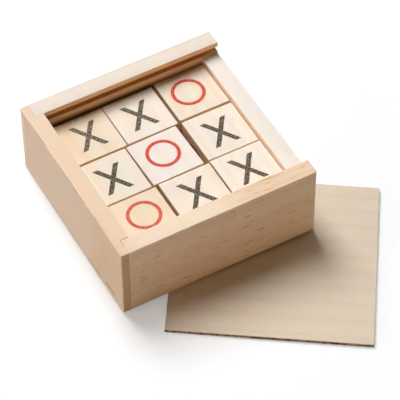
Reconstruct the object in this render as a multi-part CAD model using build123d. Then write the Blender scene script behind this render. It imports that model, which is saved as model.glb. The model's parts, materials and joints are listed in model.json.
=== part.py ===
from build123d import *
import math
import os
from typing import NamedTuple

# Pocket noughts and crosses set: a small pine box, nine marked cubes and a thin plywood lid.
# The lid slides in a groove round three walls and leaves over the low fourth wall. Here it is off:
# it lies flat on the floor, one corner under the box, so the box stands a little tilted on its edge.
# Lengths are millimetres and angles are degrees.

# Cubes
cube_edge = 26.5
cube_softening = 0.4      # radius sanded on every edge of a cube
cube_rest_gap = 0.05      # between a cube and the base panel
row_play = 4.5            # what three cubes in a row leave free between the walls

# Marks printed on the cubes
ink_depth = 0.1           # how deep the print fills the wood
cross_width = 13.6
cross_height = 16.0
cross_bar = 2.3
nought_diameter = 16.6
nought_ring = 1.7
print_drift = 2.0         # the most that a mark is off the centre of its face

# Box walls and base
wall_thickness = 8.3
corner_lap = 4.0          # tongue of the left wall that covers the end of its neighbour
base_thickness = 4.0
base_rabbet = 4.0         # how far the base panel reaches into each wall
headroom = 4.5            # from the cubes to the floor of the groove
low_wall_drop = 1.0       # from the floor of the groove to the top of the low wall
lip_height = 3.0          # wood above the groove
corner_softening = 0.8    # radius of the box's upright corners
edge_softening = 0.35     # radius of its other outer edges

# Lid and its groove
lid_thickness = 2.0
lid_headspace = 1.0       # free height above the lid in its groove
lid_side_clearance = 0.25
lid_end_setback = 1.5     # how far the closed lid stays behind the box's open end
lid_corner_radius = 0.5
groove_depth = 4.3

# How the lid lies on the floor: its near left corner, seen from the box's front left corner
lid_corner_x = 11.65
lid_corner_y = -17.2
lid_turn = -33.25
support_gap = 0.05        # between the lid's edge and the box that leans on it

inner_width = 3 * cube_edge + row_play
box_width = inner_width + 2 * wall_thickness
groove_floor = base_thickness + cube_rest_gap + cube_edge + headroom
groove_roof = groove_floor + lid_thickness + lid_headspace
box_height = groove_roof + lip_height
low_wall_top = groove_floor - low_wall_drop
lid_width = inner_width + 2 * (groove_depth - lid_side_clearance)
lid_length = groove_depth - lid_side_clearance + inner_width + wall_thickness - lid_end_setback


class Seat(NamedTuple):
    """One cube's cell, the mark it shows, and how far it and its print are off the middle."""

    place: str
    column: int
    row: int
    top: str              # the mark on the top and bottom, the other one is on the left and right
    drift_x: float        # shares of the play in a row
    drift_y: float
    skew: float
    mark_x: float         # shares of the print drift
    mark_y: float


SEATS = [
    Seat("front_left", 0, 0, "nought", 0.21, 0.06, 0.00, 0.4, 0.55),
    Seat("front_middle", 1, 0, "cross", 0.26, 0.19, 0.00, -0.05, 0.2),
    Seat("front_right", 2, 0, "cross", 0.12, 0.33, 0.00, -0.1, 0.45),
    Seat("middle_left", 0, 1, "cross", -0.10, -0.08, 0.02, 0.0, -0.2),
    Seat("centre", 1, 1, "nought", -0.24, 0.02, 0.12, -0.05, 0.7),
    Seat("middle_right", 2, 1, "cross", 0.11, 0.13, -0.02, -0.05, -0.2),
    Seat("back_left", 0, 2, "cross", 0.32, -0.16, 0.00, 0.1, 0.3),
    Seat("back_middle", 1, 2, "cross", 0.10, -0.11, 0.02, -0.05, 0.0),
    Seat("back_right", 2, 2, "nought", 0.11, 0.09, 0.00, -0.6, 0.4),
]


def block(low, high):
    """A block between two opposite corners."""
    size = [top - bottom for bottom, top in zip(low, high)]
    return Pos(*low) * Box(*size, align=(Align.MIN, Align.MIN, Align.MIN))


def box_envelope():
    """The outer shape that all the walls are sanded to once they are glued."""
    body = block((0, 0, 0), (box_width, box_width, box_height))
    body = fillet(body.edges().filter_by(Axis.Z), corner_softening)
    levels = body.faces().filter_by(Axis.Z)
    return fillet(levels.edges(), edge_softening)


def base_panel():
    """The plywood base, let into a rabbet in all four walls."""
    low = wall_thickness - base_rabbet
    return block((low, low, 0), (box_width - low, box_width - low, base_thickness))


def left_wall():
    """The end wall that stops the lid: a tongue at both ends laps over the long walls."""
    far = box_width - wall_thickness
    tongue = block((0, 0, 0), (corner_lap, box_width, box_height))
    body = block((0, wall_thickness, 0), (wall_thickness, far, box_height))
    groove_start = wall_thickness - groove_depth
    groove = block(
        (groove_start, groove_start, groove_floor),
        (wall_thickness, box_width - groove_start, groove_roof),
    )
    return (tongue + body - groove - base_panel()) & box_envelope()


def front_wall():
    """A long wall: its groove runs out at the open end, where the lid leaves."""
    body = block((corner_lap, 0, 0), (box_width, wall_thickness, box_height))
    groove = block(
        (corner_lap, wall_thickness - groove_depth, groove_floor),
        (box_width, wall_thickness, groove_roof),
    )
    return (body - groove - base_panel()) & box_envelope()


def back_wall():
    """The front wall's mirror image on the other side of the cubes."""
    middle = Plane.XZ.offset(-box_width / 2)
    return mirror(front_wall(), about=middle)


def low_wall():
    """The low end wall between the long walls, which the lid passes over."""
    far = box_width - wall_thickness
    body = block((far, wall_thickness, 0), (box_width, far, low_wall_top))
    top_edges = body.edges().filter_by(Axis.Y).group_by(Axis.Z)[-1]
    return fillet(top_edges, edge_softening) - base_panel()


def lid():
    """The plywood lid, its near left corner at the origin."""
    body = block((0, 0, 0), (lid_length, lid_width, lid_thickness))
    return fillet(body.edges().filter_by(Axis.Z), lid_corner_radius)


def cross_outline():
    """An upright cross: two bars whose ends are cut level, as in a plain printed letter."""
    half_height = cross_height / 2
    # The level cut across a sloping bar is wider than the bar. This is the width that makes
    # the bar come out at its own thickness, with the whole cross at its own width and height.
    diagonal = math.sqrt(cross_height**2 + cross_width**2 - cross_bar**2)
    cut = cross_bar * (cross_height * diagonal - cross_bar * cross_width)
    cut /= cross_height**2 - cross_bar**2
    reach = (cross_width - cut) / 2
    bar = make_face(
        Polyline(
            (-reach - cut / 2, -half_height),
            (-reach + cut / 2, -half_height),
            (reach + cut / 2, half_height),
            (reach - cut / 2, half_height),
            close=True,
        )
    )
    return bar + mirror(bar, about=Plane.YZ)


def nought_outline():
    """A plain ring."""
    return Circle(nought_diameter / 2) - Circle(nought_diameter / 2 - nought_ring)


def mark_planes(first, second):
    """The cube's marked faces, each with the mark printed on it and its reading direction."""
    half = cube_edge / 2
    return [
        (first, Plane(origin=(0, 0, half), x_dir=(1, 0, 0), z_dir=(0, 0, 1))),
        (first, Plane(origin=(0, 0, -half), x_dir=(1, 0, 0), z_dir=(0, 0, -1))),
        (second, Plane(origin=(-half, 0, 0), x_dir=(0, -1, 0), z_dir=(-1, 0, 0))),
        (second, Plane(origin=(half, 0, 0), x_dir=(0, 1, 0), z_dir=(1, 0, 0))),
    ]


def cube_pieces(seat):
    """A cube about its own centre, with the ink of its crosses and of its noughts."""
    outlines = {"cross": cross_outline(), "nought": nought_outline()}
    other = {"cross": "nought", "nought": "cross"}[seat.top]
    drift = Pos(seat.mark_x * print_drift, seat.mark_y * print_drift, 0)
    ink = {"cross": [], "nought": []}
    wood = Box(cube_edge, cube_edge, cube_edge)
    wood = fillet(wood.edges(), cube_softening)
    for mark, plane in mark_planes(seat.top, other):
        print_solid = extrude(plane * drift * outlines[mark], amount=-ink_depth)
        ink[mark] += print_solid.solids()
        wood = wood - print_solid
    return wood, Compound(ink["cross"]), Compound(ink["nought"])


def cube_location(seat):
    """Where a cube stands in the box, from its cell, its drift and its skew."""
    cell = inner_width / 3
    x = wall_thickness + (seat.column + 0.5) * cell + seat.drift_x * row_play
    y = wall_thickness + (seat.row + 0.5) * cell + seat.drift_y * row_play
    z = base_thickness + cube_rest_gap + cube_edge / 2
    turn = math.degrees(math.atan2(seat.skew * row_play, cube_edge))
    return Pos(x, y, z) * Rot(0, 0, turn)


def lid_location():
    """The lid flat on the floor."""
    return Pos(lid_corner_x, lid_corner_y, 0) * Rot(0, 0, lid_turn)


def box_location():
    """The box leaning on the lid's left edge, with its back left corner on the floor."""
    away = math.radians(lid_turn)
    reach = lid_corner_x * math.cos(away) + (lid_corner_y - box_width) * math.sin(away)
    tilt = math.degrees(math.atan2(lid_thickness + support_gap, reach))
    to_corner = Pos(0, box_width, 0) * Rot(0, 0, lid_turn)
    from_corner = Rot(0, 0, -lid_turn) * Pos(0, -box_width, 0)
    return to_corner * Rot(0, -tilt, 0) * from_corner


def box_nodes():
    """The box, its cubes and their marks, in the box's own frame."""
    nodes = {
        "left_wall": left_wall(),
        "front_wall": front_wall(),
        "back_wall": back_wall(),
        "low_wall": low_wall(),
        "base_panel": base_panel(),
    }
    for seat in SEATS:
        wood, crosses, noughts = cube_pieces(seat)
        here = cube_location(seat)
        nodes[f"cube_{seat.place}"] = here * wood
        nodes[f"crosses_{seat.place}"] = here * crosses
        nodes[f"noughts_{seat.place}"] = here * noughts
    return nodes


def standing_point(shapes):
    """The middle of the whole set's footprint, on the floor."""
    size = Compound(shapes).bounding_box()
    return Pos(-size.center().X, -size.center().Y, -size.min.Z)


def main():
    """Place every piece on the floor, set the origin and write one STEP file for each."""
    tilted = box_location()
    nodes = {name: tilted * shape for name, shape in box_nodes().items()}
    nodes["lid"] = lid_location() * lid()
    origin = standing_point(list(nodes.values()))
    os.makedirs("parts", exist_ok=True)
    for name, shape in nodes.items():
        export_step(origin * shape, f"parts/{name}.step")
    return nodes, origin


placed_nodes, origin_shift = main()
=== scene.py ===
"""The finished looks of a small pine noughts and crosses box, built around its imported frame.

The walls, the lid, the nine cubes and their print are meshes of their own, at the frame's sizes, with
sanded edges, rough sawn plywood and worn ink. Lengths are millimetres up to the point where a mesh
is made, and each mesh is in metres.
"""

import json
import logging
import math
from dataclasses import dataclass, field
from enum import Enum

import bpy
import numpy as np
from bpy.types import ID, Material, Node, NodeSocket, NodeTree, Object
from mathutils import Matrix, Vector, noise

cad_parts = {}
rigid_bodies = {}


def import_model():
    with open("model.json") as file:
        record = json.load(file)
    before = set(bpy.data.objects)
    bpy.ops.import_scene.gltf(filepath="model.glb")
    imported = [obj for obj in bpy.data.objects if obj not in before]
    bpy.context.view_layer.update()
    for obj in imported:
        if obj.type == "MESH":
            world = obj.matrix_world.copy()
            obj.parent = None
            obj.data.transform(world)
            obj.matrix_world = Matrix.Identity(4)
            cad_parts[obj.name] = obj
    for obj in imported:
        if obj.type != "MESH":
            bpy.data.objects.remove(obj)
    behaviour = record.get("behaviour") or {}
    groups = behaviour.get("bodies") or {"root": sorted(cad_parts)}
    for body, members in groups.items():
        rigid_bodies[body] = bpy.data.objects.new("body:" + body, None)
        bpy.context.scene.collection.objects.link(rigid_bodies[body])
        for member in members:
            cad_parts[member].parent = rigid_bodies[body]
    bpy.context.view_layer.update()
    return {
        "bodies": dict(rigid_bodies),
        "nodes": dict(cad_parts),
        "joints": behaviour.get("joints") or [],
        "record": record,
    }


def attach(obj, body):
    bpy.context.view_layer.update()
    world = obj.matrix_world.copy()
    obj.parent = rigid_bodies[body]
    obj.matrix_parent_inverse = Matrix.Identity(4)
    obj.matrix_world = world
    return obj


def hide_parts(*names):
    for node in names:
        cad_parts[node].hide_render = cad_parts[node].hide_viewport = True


LOG = logging.getLogger("noughts_and_crosses")
MM = 0.001
PER_MM = (1 / MM, 1 / MM, 1 / MM)

# A rounded edge has this many steps on each side, and places this close count as one.
EDGE_PARTS = 3
SAME = 1e-4

# Edges that turn by more than this many degrees stay sharp in the shading.
SHARP_TURN = 40

# How far one step of a seed moves the noise along X, Y and Z.
SEED_STEP = (17.3, 5.1, 9.7)

# Places of the input sockets on a colour mix node.
MIX_FACTOR = 0
MIX_FIRST = 6
MIX_SECOND = 7

# The setting that makes a map range node fade softly at both ends.
SMOOTH = {"interpolation_type": "SMOOTHSTEP"}

Colour = tuple[float, float, float, float]
Point = tuple[float, float, float]
Lines = tuple[list[float], list[float], list[float]]

# A hex colour and the share of it that shows.
Tint = tuple[str, float]


def linear(hex_colour: str) -> Colour:
    """Turn an sRGB hex colour into Blender's linear colour.

    Args:
        hex_colour: A colour such as "#F0DDBE".

    Returns:
        Red, green, blue and alpha, each from 0 to 1.
    """
    channels = []
    for start in (1, 3, 5):
        value = int(hex_colour[start : start + 2], 16) / 255
        if value <= 0.04045:
            channels.append(value / 12.92)
        else:
            channels.append(((value + 0.055) / 1.055) ** 2.4)
    return (channels[0], channels[1], channels[2], 1.0)


def add_node(tree: NodeTree, kind: str, inputs: dict | None = None, **settings: object) -> Node:
    """Add a node with its settings, its values and its links.

    Args:
        tree: The node tree that gets the node.
        kind: Blender's name for the node type, without the "ShaderNode" that each one starts with.
        inputs: For each socket, by name or place, a value, a socket that feeds it, or a node whose
            first output in use feeds it.
        **settings: The node's own properties.

    Returns:
        The new node.
    """
    node = tree.nodes.new(f"ShaderNode{kind}")
    for name, value in settings.items():
        setattr(node, name, value)
    for name, value in (inputs or {}).items():
        if isinstance(value, Node):
            value = next(output for output in value.outputs if output.enabled)
        if isinstance(value, NodeSocket):
            tree.links.new(value, node.inputs[name])
        else:
            node.inputs[name].default_value = value
    return node


def lay_colour(
    tree: NodeTree,
    base: Colour | Node,
    colour: str,
    mask: Node,
    share: float = 1.0,
    blend: str = "MIX",
) -> Node:
    """Lay a colour over another one.

    Args:
        tree: The material's node tree.
        base: The colour below, or the node that gives it.
        colour: The colour on top.
        mask: The node that says where the colour on top shows.
        share: How much of it shows there.
        blend: Blender's name for the way in which the two mix.

    Returns:
        The node that gives the new colour.
    """
    weight = add_node(tree, "Math", {0: mask, 1: share}, operation="MULTIPLY")
    inputs = {MIX_FACTOR: weight, MIX_FIRST: base, MIX_SECOND: linear(colour)}
    return add_node(tree, "Mix", inputs, data_type="RGBA", blend_type=blend)


def start_material(name: str) -> Material:
    """Make a material with an empty node tree.

    Args:
        name: The finish and the piece that it is for.

    Returns:
        The new material.
    """
    material = bpy.data.materials.new(name)
    material.use_nodes = True
    material.node_tree.nodes.clear()
    return material


class Grain(Enum):
    """The axis that a piece's fibres follow, with the turn that lays them along X."""

    ALONG_X = ((1.0, 0.0, 0.0), (0.0, 0.0, 0.0))
    ALONG_Y = ((0.0, 1.0, 0.0), (0.0, 0.0, -math.pi / 2))


@dataclass(frozen=True)
class ColourPatch:
    """A soft patch of another colour, as a box in the piece's own axes, in millimetres.

    The edge is the share of the box over which the colour fades out, and the ragged value is how
    far that edge wanders. A broken patch shows on some of the fibres only. Patches give real stains,
    and also painted shade and painted highlights.
    """

    middle: Point
    reach: Point
    colour: str
    share: float
    edge: float = 0.4
    ragged: float = 0.0
    broken: bool = False


@dataclass(frozen=True)
class Cut:
    """How one piece was cut from its tree: its grain, its own part of the trunk and its colour.

    The figure and the flecks say how strongly those of the wood show on this piece.
    """

    grain: Grain
    heart: tuple[float, float]
    along: float
    colour: str
    figure: float = 1.0
    flecks: float = 1.0
    patches: tuple[ColourPatch, ...] = ()


@dataclass(frozen=True)
class WoodPattern:
    """The nodes that a wood finish mixes its colours and its relief from."""

    place: Node
    rings: Node
    fibres: Node
    flecks: Node
    clouds: Node
    end_grain: Node


@dataclass(frozen=True)
class Wood:
    """A bare wood: the tint of each of its marks, and their spacing in millimetres.

    Each colour is what the mark leaves of the piece's own colour. A stretch is how fast a mark
    changes along the fibres, as a share of how fast it does across them.
    """

    rings: Tint
    fibres: Tint
    flecks: Tint
    clouds: Tint
    end_grain: Tint
    ring_gap: float
    fibre_width: float
    fleck_width: float
    fleck_floor: float
    cloud_width: float
    roughness: float
    relief: float
    fibre_stretch: float = 0.07
    cloud_stretch: float = 0.35
    fleck_fade: float = 0.07
    patch_swell: float = 2.5
    patch_wander: float = 4.0
    depth: float = 1.6
    depth_share: float = 0.4

    def pattern(self, tree: NodeTree, cut: Cut) -> WoodPattern:
        """Build the solid pattern of rings, fibres and flecks, in millimetres along the grain.

        Args:
            tree: The material's node tree.
            cut: The piece's grain direction and its place in the trunk.

        Returns:
            The nodes of the pattern.
        """
        axis, turn = cut.grain.value
        coords = add_node(tree, "TexCoord").outputs
        place = {"Location": (cut.along, *cut.heart), "Rotation": turn, "Scale": PER_MM}
        trunk = add_node(tree, "Mapping", {"Vector": coords["Object"], **place})
        drawn, wide = (
            add_node(tree, "VectorMath", {0: trunk, 1: (stretch, 1.0, 1.0)}, operation="MULTIPLY")
            for stretch in (self.fibre_stretch, self.cloud_stretch)
        )
        # At a scale of 1, each ring of a wave is 2 pi / 20 wide.
        gap = {"Vector": drawn, "Scale": math.tau / 20 / self.ring_gap, "Distortion": 2.6}
        swirl = {"Detail": 2.0, "Detail Scale": 0.35, "Detail Roughness": 0.55}
        kind = {"wave_type": "RINGS", "rings_direction": "X", "wave_profile": "SAW"}
        wave = add_node(tree, "TexWave", {**gap, **swirl}, **kind).outputs["Fac"]
        rings = add_node(tree, "MapRange", {"Value": wave, "From Min": 0.35, "From Max": 1.0}, **SMOOTH)
        # Real fibres, 0.02 to 0.04 mm wide, are too fine to show: these are ten or more times as coarse.
        fibre_scale = {"Scale": 1 / self.fibre_width, "Detail": 3.0, "Roughness": 0.6}
        fibres = add_node(tree, "TexNoise", {"Vector": drawn, **fibre_scale})
        fleck_scale = {"Scale": 0.5 / self.fleck_width, "Detail": 1.0, "Roughness": 0.4}
        spots = add_node(tree, "TexNoise", {"Vector": drawn, **fleck_scale})
        limits = {"From Min": self.fleck_floor, "From Max": self.fleck_floor + self.fleck_fade}
        flecks = add_node(tree, "MapRange", {"Value": spots, **limits, "To Max": cut.flecks}, **SMOOTH)
        cloud_scale = {"Scale": 1 / self.cloud_width, "Detail": 1.0}
        clouds = add_node(tree, "TexNoise", {"Vector": wide, **cloud_scale})
        facing = add_node(tree, "VectorMath", {0: coords["Normal"], 1: axis}, operation="DOT_PRODUCT")
        end_on = add_node(tree, "Math", {0: facing}, operation="ABSOLUTE")
        pore_scale = {"Scale": 0.5 / self.fibre_width, "Detail": 3.0}
        pores = add_node(tree, "TexNoise", {"Vector": trunk, **pore_scale})
        limits = {"From Min": 0.35, "From Max": 0.65, "To Min": 0.6}
        mottled = add_node(tree, "MapRange", {"Value": pores, **limits})
        limits = {"From Min": 0.7, "From Max": 0.9, "To Max": mottled}
        end_grain = add_node(tree, "MapRange", {"Value": end_on, **limits}, **SMOOTH)
        return WoodPattern(trunk, rings, fibres, flecks, clouds, end_grain)

    def colour(self, tree: NodeTree, pattern: WoodPattern, cut: Cut) -> Node:
        """Lay the wood's colours, then the patches of stain and painted light over them.

        Args:
            tree: The material's node tree.
            pattern: The nodes of the wood's pattern.
            cut: The piece's own colour and patches.

        Returns:
            The node that gives the colour.
        """
        base = linear(cut.colour)
        for mask, (colour, share), strength in (
            (pattern.rings, self.rings, cut.figure),
            (pattern.fibres, self.fibres, cut.figure),
            (pattern.clouds, self.clouds, cut.figure),
            (pattern.flecks, self.flecks, 1.0),
            (pattern.end_grain, self.end_grain, 1.0),
        ):
            base = lay_colour(tree, base, colour, mask, share * strength, "MULTIPLY")
        if not cut.patches:
            return base
        coords = add_node(tree, "TexCoord").outputs
        place = add_node(tree, "VectorMath", {0: coords["Object"], 1: PER_MM}, operation="MULTIPLY")
        swell_scale = {"Scale": 1 / self.patch_swell, "Detail": 2.0}
        swell = add_node(tree, "TexNoise", {"Vector": place, **swell_scale}).outputs["Color"]
        wander = add_node(tree, "VectorMath", {0: swell, 1: (0.5, 0.5, 0.5)}, operation="SUBTRACT")
        limits = {"From Min": 0.45, "From Max": 0.62}
        some_fibres = add_node(tree, "MapRange", {"Value": pattern.fibres, **limits}, **SMOOTH)
        # Patches lay real stains, painted shade and painted highlights.
        for patch in cut.patches:
            mask = self.patch_mask(tree, patch, place, wander)
            if patch.broken:
                mask = add_node(tree, "Math", {0: mask, 1: some_fibres}, operation="MULTIPLY")
            base = lay_colour(tree, base, patch.colour, mask, patch.share)
        return base

    def patch_mask(self, tree: NodeTree, patch: ColourPatch, place: Node, wander: Node) -> Node:
        """Say how far each point is inside a patch's box.

        Args:
            tree: The material's node tree.
            patch: The patch.
            place: The node with the point's place, in millimetres.
            wander: The node with the sway that makes an edge ragged.

        Returns:
            The node that is 1 inside the patch and fades to 0 at its edge.
        """
        far = (self.patch_wander * patch.ragged,) * 3
        point = add_node(tree, "VectorMath", {0: wander, 1: far, 2: place}, operation="MULTIPLY_ADD")
        for operation, amount in (
            ("SUBTRACT", patch.middle),
            ("DIVIDE", patch.reach),
            ("ABSOLUTE", (0.0, 0.0, 0.0)),
        ):
            point = add_node(tree, "VectorMath", {0: point, 1: amount}, operation=operation)
        share = add_node(tree, "SeparateXYZ", {0: point}).outputs
        widest = add_node(tree, "Math", {0: share["X"], 1: share["Y"]}, operation="MAXIMUM")
        widest = add_node(tree, "Math", {0: widest, 1: share["Z"]}, operation="MAXIMUM")
        limits = {"From Min": 1.0, "From Max": 1.0 - patch.edge}
        return add_node(tree, "MapRange", {"Value": widest, **limits}, **SMOOTH)

    def surface(self, tree: NodeTree, pattern: WoodPattern, colour: Node) -> None:
        """Add the wood's shader, with its fibres as a shallow relief.

        Args:
            tree: The material's node tree.
            pattern: The nodes of the wood's pattern.
            colour: The node that gives the finished colour.
        """
        height = add_node(tree, "Math", {0: pattern.fibres, 1: pattern.flecks}, operation="SUBTRACT")
        relief = {"Height": height, "Strength": 0.6, "Distance": self.relief * MM}
        shader = add_node(
            tree,
            "BsdfPrincipled",
            {
                "Base Color": colour,
                "Roughness": self.roughness,
                "IOR": 1.5,
                "Specular IOR Level": 0.12,
                "Subsurface Weight": self.depth_share,
                "Subsurface Radius": (1.0, 0.5, 0.2),
                "Subsurface Scale": self.depth * MM,
                "Normal": add_node(tree, "Bump", relief),
            },
        )
        add_node(tree, "OutputMaterial", {"Surface": shader})

    def material(self, name: str, cut: Cut) -> Material:
        """Make the finish of one piece.

        Args:
            name: The material's name.
            cut: How the piece was cut.

        Returns:
            The material.
        """
        material = start_material(name)
        tree = material.node_tree
        pattern = self.pattern(tree, cut)
        self.surface(tree, pattern, self.colour(tree, pattern, cut))
        return material


# Planed and sanded pine, left bare: pale cream with soft rings and short brown resin flecks, a matt
# face, and end grain that takes more light in and looks browner.
SANDED_PINE = Wood(
    rings=("#F4E9DB", 0.45),
    fibres=("#EDE0CE", 0.35),
    flecks=("#B5875C", 0.7),
    clouds=("#F8F0E6", 0.5),
    end_grain=("#C2A27C", 0.7),
    ring_gap=3.6,
    fibre_width=0.45,
    fleck_width=0.27,
    fleck_floor=0.66,
    cloud_width=14.0,
    roughness=0.62,
    relief=0.05,
)

# Fine sanded basswood of the cubes: almost white, close grained, with hardly a ring to be seen.
SANDED_BASSWOOD = Wood(
    rings=("#F6ECDD", 0.35),
    fibres=("#F2E6D6", 0.3),
    flecks=("#C8A580", 0.45),
    clouds=("#F8F0E4", 0.4),
    end_grain=("#E0C8A8", 0.4),
    ring_gap=5.2,
    fibre_width=0.4,
    fleck_width=0.25,
    fleck_floor=0.70,
    cloud_width=11.0,
    roughness=0.6,
    relief=0.03,
)

# Sliced basswood veneer: a little greyer than the cubes, with fine straight fibres.
FACE_VENEER = Wood(
    rings=("#F6EEE2", 0.3),
    fibres=("#E8DCCB", 0.35),
    flecks=("#CDB99E", 0.35),
    clouds=("#FAF3EA", 0.4),
    end_grain=("#DECBB0", 0.0),
    ring_gap=9.0,
    fibre_width=0.5,
    fleck_width=0.3,
    fleck_floor=0.69,
    cloud_width=22.0,
    roughness=0.65,
    relief=0.03,
    fibre_stretch=0.04,
)


@dataclass(frozen=True)
class SawnPlywood:
    """Thin three-ply of basswood, its face sanded and its edges browned by the saw.

    To the eye: a flat grey beige face with fine straight lines, and an edge that shows the middle
    ply and is dark in blotches, all but its upper rim: partly saw scorch and partly painted shade.
    The middle ply blurs by a share of its own half, and the dark blotches end between two shares
    of the thickness.
    """

    face: Wood
    thickness: float
    ply: float
    core_colour: str = "#B08A63"
    core_share: float = 0.75
    core_blur: float = 0.15
    scorch_and_shade_colour: str = "#4B3424"
    scorch_and_shade_blotch: float = 2.2
    scorch_and_shade_share: float = 0.9
    scorch_and_shade_end: tuple[float, float] = (0.6, 0.8)

    def material(self, name: str, cut: Cut) -> Material:
        """Make the plywood's finish.

        Args:
            name: The material's name.
            cut: How the face veneer was cut.

        Returns:
            The material.
        """
        material = start_material(name)
        tree = material.node_tree
        pattern = self.face.pattern(tree, cut)
        veneer = self.face.colour(tree, pattern, cut)
        coords = add_node(tree, "TexCoord").outputs
        level = add_node(tree, "SeparateXYZ", {"Vector": coords["Object"]}).outputs["Z"]
        facing = add_node(tree, "SeparateXYZ", {"Vector": coords["Normal"]}).outputs["Z"]
        upright = add_node(tree, "Math", {0: facing}, operation="ABSOLUTE")
        side = add_node(tree, "MapRange", {"Value": upright, "From Min": 0.85, "From Max": 0.45})

        # The middle ply, and the dark blotches below the upper rim, partly scorch and partly painted
        # shade.
        half = self.thickness / 2
        above = add_node(tree, "Math", {0: level, 1: half * MM}, operation="SUBTRACT")
        off_middle = add_node(tree, "Math", {0: above}, operation="ABSOLUTE")
        core_half = (half - self.ply) * MM
        outer, inner = core_half * (1 + self.core_blur), core_half * (1 - self.core_blur)
        core = add_node(tree, "MapRange", {"Value": off_middle, "From Min": outer, "From Max": inner})
        scale = {"Scale": 1 / self.scorch_and_shade_blotch, "Detail": 4.0, "Roughness": 0.65}
        blotches = add_node(tree, "TexNoise", {"Vector": pattern.place, **scale})
        limits = {"From Min": 0.35, "From Max": 0.6}
        dark_blotches = add_node(tree, "MapRange", {"Value": blotches, **limits}, **SMOOTH)
        low, high = (self.thickness * MM * share for share in self.scorch_and_shade_end)
        below = add_node(tree, "MapRange", {"Value": level, "From Min": high, "From Max": low})
        darkened_below = add_node(tree, "Math", {0: dark_blotches, 1: below}, operation="MULTIPLY")
        edge = lay_colour(tree, veneer, self.core_colour, core, self.core_share)
        edge = lay_colour(tree, edge, self.scorch_and_shade_colour, darkened_below, self.scorch_and_shade_share)
        faces = {MIX_FACTOR: side, MIX_FIRST: veneer, MIX_SECOND: edge}
        self.face.surface(tree, pattern, add_node(tree, "Mix", faces, data_type="RGBA"))
        return material


@dataclass(frozen=True)
class PrintedInk:
    """A thin flat print on bare wood, worn along the fibres so that some wood shows through.

    To the eye: matt, a little grainy, and never quite solid. The wear varies between two multiples
    of what each cube has.
    """

    ink_colour: str
    worn_colour: str
    wear_width: float = 0.55
    wear_stretch: float = 0.4
    wear_range: tuple[float, float] = (0.25, 1.75)
    roughness: float = 0.6

    def material(self, name: str, wear: float) -> Material:
        """Make the ink's finish.

        Args:
            name: The material's name.
            wear: The share of the ink that has worn pale.

        Returns:
            The material.
        """
        material = start_material(name)
        tree = material.node_tree
        coords = add_node(tree, "TexCoord").outputs
        scale = (1 / MM, self.wear_stretch / MM, 1 / MM)
        drawn = add_node(tree, "Mapping", {"Vector": coords["Object"], "Scale": scale})
        fine = {"Scale": 1 / self.wear_width, "Detail": 3.0, "Roughness": 0.6}
        streaks = add_node(tree, "TexNoise", {"Vector": drawn, **fine})
        least, most = (min(1.0, wear * times) for times in self.wear_range)
        limits = {"From Min": 0.4, "From Max": 0.62, "To Min": least, "To Max": most}
        worn = add_node(tree, "MapRange", {"Value": streaks, **limits}, **SMOOTH)
        colour = lay_colour(tree, linear(self.ink_colour), self.worn_colour, worn)
        matt = {"Roughness": self.roughness, "IOR": 1.5, "Specular IOR Level": 0.1}
        shader = add_node(tree, "BsdfPrincipled", {"Base Color": colour, **matt})
        add_node(tree, "OutputMaterial", {"Surface": shader})
        return material


BLACK_PRINT = PrintedInk(ink_colour="#2A2015", worn_colour="#9C8E7C")
RED_PRINT = PrintedInk(ink_colour="#D23C28", worn_colour="#E8846C")


@dataclass(frozen=True)
class Block:
    """A box between two opposite corners."""

    low: Point
    high: Point


@dataclass(frozen=True)
class Arris:
    """A straight edge that is rounded: the axis it runs along and its place on the other two.

    The outward signs say on which side of the edge the air is, along each of the other two axes.
    """

    axis: int
    corner: tuple[float, float]
    outward: tuple[int, int]
    radius: float = 0.2


def other_axes(axis: int) -> list[int]:
    """Return the other two of the axes 0, 1 and 2."""
    return [other for other in range(3) if other != axis]


def edge_lines(corner: float, outward: int, radius: float) -> list[float]:
    """Return the grid lines that one side of a rounded edge needs, with the air on its outward side."""
    turns = [math.pi / 4 * part / EDGE_PARTS for part in range(EDGE_PARTS + 1)]
    return [corner - outward * radius * (1 - math.tan(turn)) for turn in turns]


def fill_lines(lines: list[float], step: float) -> np.ndarray:
    """Sort grid lines, drop doubles and add lines where two are far apart.

    Args:
        lines: The places that have to be kept.
        step: The widest gap that may stay.

    Returns:
        The sorted places.
    """
    kept = [min(lines)]
    for place in sorted(lines):
        if place - kept[-1] > SAME:
            parts = max(1, math.ceil((place - kept[-1]) / step - SAME))
            start = kept[-1]
            kept += [start + (place - start) * part / parts for part in range(1, parts + 1)]
    return np.array(kept)


def sway(points: np.ndarray, width: float, seed: float) -> np.ndarray:
    """Return smooth noise from about -1 to 1 for each point, with swells of a width in millimetres."""
    shift = Vector([seed * step for step in SEED_STEP])
    return np.array([noise.noise(Vector(point) / width + shift) for point in points])


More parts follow.
